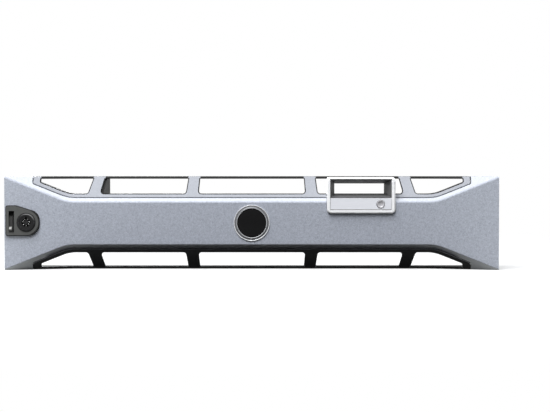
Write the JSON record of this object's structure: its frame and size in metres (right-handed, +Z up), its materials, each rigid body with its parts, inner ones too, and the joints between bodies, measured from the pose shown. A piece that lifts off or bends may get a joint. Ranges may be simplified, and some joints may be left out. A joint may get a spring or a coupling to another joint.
{
  "type": "server front bezel",
  "caption": "Locking front bezel for a two-unit rack server: silver bow-tie face, black windowed frame, key lock, release latch and a framed display opening.",
  "frame": {"origin": "middle of the bottom edge, at half the width and half the depth", "axes": "+X to the right seen from the front, +Y from the face to the rear, +Z up"},
  "size_m": [0.457, 0.045, 0.0864],
  "materials": {
    "silver_paint": "fine metallic silver paint on moulded plastic",
    "grille_paint": "darker silver paint, bare at the edges",
    "black_plastic": "satin black moulded plastic",
    "surround_paint": "light silver paint",
    "grey_plastic": "matt grey moulded plastic",
    "strip_foil": "satin light silver foil",
    "button_plastic": "grey translucent plastic",
    "spring_steel": "blackened spring strip",
    "ring_metal": "satin bright",
    "disc_black": "gloss black",
    "pad_plastic": "dark grey moulded plastic",
    "lock_chrome": "plated",
    "plug_metal": "satin plated",
    "zinc_steel": "zinc plated",
    "latch_plastic": "satin black moulded plastic"
  },
  "bodies": {
    "bezel": {"front_shell": "silver_paint", "upper_grille_left": "grille_paint", "upper_grille_right": "grille_paint", "lower_grille": "grille_paint", "rear_frame": "black_plastic", "lcd_surround": "surround_paint", "lcd_tunnel": "grey_plastic", "name_strip": "strip_foil", "button_spring": "spring_steel", "badge_ring": "ring_metal", "badge_disc": "disc_black", "lock_pad": "pad_plastic", "lock_barrel": "lock_chrome", "lock_washer": "zinc_steel", "lock_nut": "zinc_steel", "latch_spring": "spring_steel", "frame_screws": "zinc_steel", "surround_screws": "zinc_steel"},
    "lock_core": {"lock_plug": "plug_metal", "lock_cam": "zinc_steel", "cam_screw": "zinc_steel"},
    "latch": {"release_latch": "latch_plastic"},
    "button": {"id_button": "button_plastic"}
  },
  "joints": [
    {"name": "lock_turn", "type": "hinge", "parent": "bezel", "child": "lock_core", "pos_m": [-0.2082, -0.0105, 0.0442], "axis": [0, 1, 0], "range_deg": [0, 90]},
    {"name": "latch_lift", "type": "slide", "parent": "bezel", "child": "latch", "axis": [0, 0, 1], "range_m": [0, 0.0048], "stiffness_N_per_m": 200, "springref_m": -0.004, "deforming": ["latch_spring"]},
    {"name": "button_press", "type": "slide", "parent": "bezel", "child": "button", "axis": [0, 1, 0], "range_m": [0, 0.0015], "stiffness_N_per_m": 400, "springref_m": -0.001, "deforming": ["button_spring"]}
  ]
}
